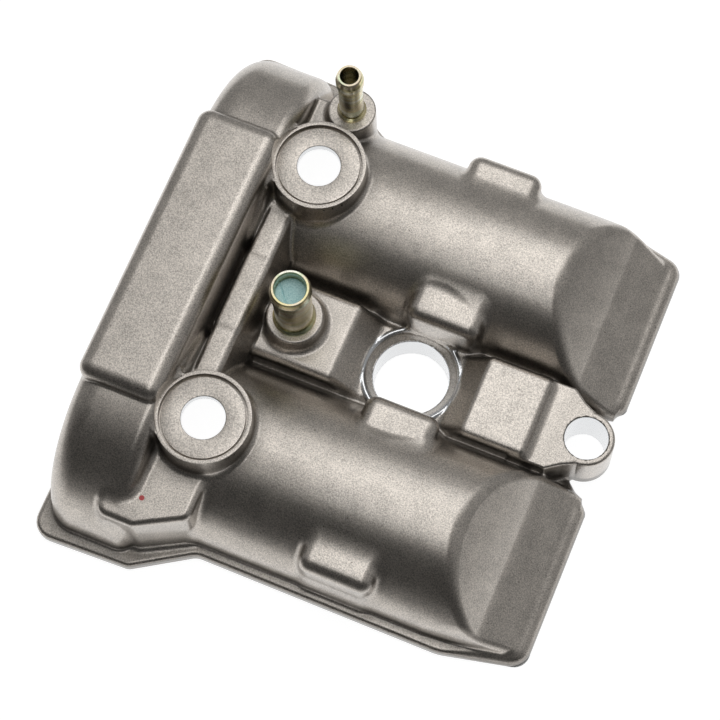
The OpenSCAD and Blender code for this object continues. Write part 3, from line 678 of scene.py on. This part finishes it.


# The paint: a metallic bronze grey under a clear top, with painted shade in hollows and on the steep lower
# side of the flange. The bead and the bores are machined bare, and the near pad carries a dot of red
# marking paint.
paint_dark, paint_light = (0.345, 0.318, 0.287, 1), (0.69, 0.634, 0.57, 1)
pit_tone, hollow_shade_tone, rim_shade_tone = (0.17, 0.15, 0.13, 1), (0.1, 0.092, 0.083, 1), (0.13, 0.12, 0.11, 1)
bare_tone, dot_tone = (0.72, 0.73, 0.74, 1), (0.62, 0.03, 0.035, 1)
hollow_shade_low, hollow_shade_high, hollow_shade_share = 0.08, 0.6, 0.62
rim_shade_low, rim_shade_high, rim_shade_share = 0.0034, 0.0042, 0.75
steep, flat = 0.35, 0.75
bead_outer_r, bead_inner_r, bare_plug_r, bare_plug_top = 17.8, 15.9, 13.6, 15.7
bare_lug_r, bare_lug_top, bare_bolt_r, bare_bolt_top = 7.95, 19.2, 7.8, 44.9
dot_place, dot_full, dot_edge = (-0.06393, -0.07944, pad_top * MM), 0.0008, 0.001
paint_rough, bare_rough = 0.36, 0.24
paint = empty_material("bronze_paint")
place = wire(paint, "ShaderNodeTexCoord").outputs["Object"]
colour, grain_height = grained(paint, place, scale=2300.0, dark=paint_dark, light=paint_light)
colour = pitted(paint, place, scale=460.0, share=0.05, base=colour, tint=pit_tone)
# Painted shade: the base colour is darkened where the attribute hollow says the casting closes a point in.
hollow_shade_mask = wire(paint, "ShaderNodeAttribute", attribute_name="hollow").outputs["Fac"]
hollow_shade_mask = between(paint, hollow_shade_mask, hollow_shade_low, hollow_shade_high, 0.0, hollow_shade_share)
colour = tinted(paint, hollow_shade_mask, colour, hollow_shade_tone)
# Painted shade: steep faces of the flange up to about 4 mm over the foot are darkened, in place of the dark
# reflection of the shaded floor beside them.
height = wire(paint, "ShaderNodeSeparateXYZ", {0: place}).outputs["Z"]
low = between(paint, height, rim_shade_low, rim_shade_high, 1.0, 0.0)
normal = wire(paint, "ShaderNodeNewGeometry").outputs["Normal"]
up_part = wire(paint, "ShaderNodeSeparateXYZ", {0: normal}).outputs["Z"]
upright = between(paint, up_part, steep, flat, rim_shade_share, 0.0)
colour = tinted(paint, worked_out(paint, "MULTIPLY", low, upright), colour, rim_shade_tone)
to_bead_outer = spot(paint, place, 0, 0, bead_outer_r, bare_plug_top)
to_bead_inner = spot(paint, place, 0, 0, bead_inner_r, bare_plug_top)
bare = worked_out(paint, "SUBTRACT", to_bead_outer, to_bead_inner)
bare = worked_out(paint, "ADD", bare, spot(paint, place, 0, 0, bare_plug_r, bare_plug_top))
bare = worked_out(paint, "MAXIMUM", bare, spot(paint, place, lug_x, 0, bare_lug_r, bare_lug_top))
for side in (-1, 1):
    in_bolt_hole = spot(paint, place, boss_x, side * boss_y, bare_bolt_r, bare_bolt_top)
    bare = worked_out(paint, "MAXIMUM", bare, in_bolt_hole)
colour = tinted(paint, bare, colour, bare_tone)
from_dot = wire(paint, "ShaderNodeVectorMath", {0: place, 1: dot_place}, operation="DISTANCE")
red_dot = between(paint, from_dot.outputs["Value"], dot_full, dot_edge, 1.0, 0.0)
surfaced(paint, {
    "Base Color": tinted(paint, red_dot, colour, dot_tone),
    "Metallic": worked_out(paint, "SUBTRACT", 1.0, red_dot, use_clamp=True),
    "Roughness": between(paint, bare, 0.0, 1.0, paint_rough, bare_rough),
    "Normal": raised(paint, grain_height, strength=0.22, distance=0.0002),
    "Coat Weight": 0.5,
    "Coat Roughness": 0.12,
})

# The inside as cast: bare aluminium with a coarser grain and more pits than the paint has. It is the second
# material of the shell.
cast_dark, cast_light, cast_pit_tone = (0.4, 0.4, 0.4, 1), (0.64, 0.64, 0.63, 1), (0.2, 0.2, 0.2, 1)
cast = empty_material("bare_casting")
place = wire(cast, "ShaderNodeTexCoord").outputs["Object"]
colour, grain_height = grained(cast, place, scale=700.0, dark=cast_dark, light=cast_light)
surfaced(cast, {
    "Base Color": pitted(cast, place, scale=300.0, share=0.12, base=colour, tint=cast_pit_tone),
    "Metallic": 0.9,
    "Roughness": 0.5,
    "Normal": raised(cast, grain_height, strength=0.3, distance=0.0003),
})

shell.materials.append(paint)
shell.materials.append(cast)
cover = bpy.data.objects.new("cover_skin", shell)
bpy.context.scene.collection.objects.link(cover)
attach(cover, "root")
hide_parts("cover_casting")

# The seats of the two tall bosses: turned in the casting after it was cast, each a thin rim round a sunk flat
# with a narrow groove at its edge, and a hole for the cover bolt. They belong to the casting.
seat_r, seat_top, groove_floor, groove_width = 14.9, 45, 43, 0.7
rim_proud, rim_foot, rim_top = 0.02, 44.6, 46.01
seat_back_r, seat_under = 15.4, 41.79
sharp_angle = np.radians(24)


def turned(name, corners, centre, turns=160):
    """Ring whose closed section, given as (radius, height, rounding), is carried round an upright axis: x and
    y are the centre's plus the radius times the cosine and sine of the turn."""
    section = rounded(corners, steps=5)
    angle = np.linspace(0, 2 * np.pi, turns, endpoint=False)[:, None]
    points = np.stack([
        centre[0] + section[:, 0] * np.cos(angle),
        centre[1] + section[:, 0] * np.sin(angle),
        np.broadcast_to(centre[2] + section[:, 1], (turns, len(section))),
    ], -1).reshape(-1, 3)
    here = np.arange(turns * len(section)).reshape(turns, -1)
    after, beside = np.roll(here, -1, 0), np.roll(here, -1, 1)
    faces = np.stack([here, after, np.roll(after, -1, 1), beside], -1).reshape(-1, 4)
    mesh = mesh_from(name, points, faces)
    fixed = bmesh.new()
    fixed.from_mesh(mesh)
    bmesh.ops.recalc_face_normals(fixed, faces=fixed.faces)
    fixed.to_mesh(mesh)
    fixed.free()
    mesh.set_sharp_from_angle(angle=sharp_angle)
    piece = bpy.data.objects.new(name, mesh)
    bpy.context.scene.collection.objects.link(piece)
    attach(piece, "root")
    return piece


rim_r, groove_r = boss_r + rim_proud, seat_r - groove_width
seat_section = [
    (rim_r, rim_foot, 0), (rim_r, rim_top, 0.25), (seat_r, rim_top, 0.15), (seat_r, groove_floor, 0),
    (groove_r, groove_floor, 0), (groove_r, seat_top, 0.15), (bolt_r, seat_top, 0.3),
    (bolt_r, seat_under, 0.2), (seat_back_r, seat_under, 0), (seat_back_r, rim_foot, 0),
]
for side, label in ((-1, "near"), (1, "far")):
    seat = turned("bolt_seat_" + label, seat_section, (boss_x, side * boss_y, 0))
    seat.data.materials.append(paint)

# The hose unions: turned from steel bar, with tool lines round them, and pressed into their bosses. They are
# zinc plated and passivated yellow, so that they shine in bands of yellow, green and pink.
plate_dark, plate_light = (0.48, 0.44, 0.28, 1), (0.8, 0.76, 0.55, 1)
hue_share = 0.62
hues = [
    (0.32, (0.3, 0.36, 0.2, 1)), (0.44, (0.72, 0.62, 0.3, 1)), (0.54, (0.66, 0.55, 0.47, 1)),
    (0.6, (0.52, 0.64, 0.44, 1)), (0.68, (0.86, 0.85, 0.8, 1)),
]
band_stretch, line_stretch = (60, 60, 520), (0, 0, 2600)


def stretched_noise(material, place, stretch, detail):
    """Noise on a place whose x, y and z are each multiplied by their own stretch."""
    place = wire(material, "ShaderNodeVectorMath", {0: place, 1: stretch}, operation="MULTIPLY").outputs[0]
    values = {"Vector": place, "Scale": 1.0, "Detail": detail}
    return wire(material, "ShaderNodeTexNoise", values).outputs["Fac"]


plating = empty_material("yellow_zinc_plate")
place = wire(plating, "ShaderNodeTexCoord").outputs["Object"]
colour, _ = grained(plating, place, scale=1400.0, dark=plate_dark, light=plate_light)
hue = wire(plating, "ShaderNodeValToRGB", {"Fac": stretched_noise(plating, place, band_stretch, detail=2.0)})
ramp = hue.color_ramp.elements
ramp[0].position, ramp[0].color = hues[0]
ramp[1].position, ramp[1].color = hues[-1]
for position, shade in hues[1:-1]:
    ramp.new(position).color = shade
lines = stretched_noise(plating, place, line_stretch, detail=1.0)
surfaced(plating, {
    "Base Color": tinted(plating, hue_share, colour, hue.outputs["Color"]),
    "Metallic": 1.0,
    "Roughness": 0.22,
    "Normal": raised(plating, lines, strength=0.25, distance=0.0001),
})


def coated(material, *names):
    """Gives CAD nodes this material in place of their own."""
    for name in names:
        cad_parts[name].data.materials.clear()
        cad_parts[name].data.materials.append(material)


coated(plating, "breather_union", "air_union")

# The plug: a soft plug of teal rubber, moulded in one piece. It is pushed into the mouth of the breather
# union and stays there by its own spring.
plug_dark, plug_light = (0.36, 0.68, 0.7, 1), (0.66, 0.95, 0.95, 1)
soft = empty_material("teal_plug")
place = wire(soft, "ShaderNodeTexCoord").outputs["Object"]
colour, grain_height = grained(soft, place, scale=2200.0, dark=plug_dark, light=plug_light)
surfaced(soft, {
    "Base Color": colour,
    "Roughness": 0.4,
    "Normal": raised(soft, grain_height, strength=0.3, distance=0.0002),
})
coated(soft, "union_plug")

# The baffle plate: pressed from steel sheet and zinc plated. It closes the breather chamber from below, and
# four small steel screws, plated as the unions are, hold it to the casting.
sheet_dark, sheet_light = (0.48, 0.48, 0.46, 1), (0.7, 0.7, 0.67, 1)
sheet = empty_material("baffle_plate")
place = wire(sheet, "ShaderNodeTexCoord").outputs["Object"]
colour, grain_height = grained(sheet, place, scale=500.0, dark=sheet_dark, light=sheet_light)
surfaced(sheet, {
    "Base Color": colour,
    "Metallic": 1.0,
    "Roughness": 0.35,
    "Normal": raised(sheet, grain_height, strength=0.15, distance=0.0002),
})
coated(sheet, "breather_baffle")
coated(plating, "baffle_screws")

bpy.context.scene.view_settings.view_transform = "Standard"
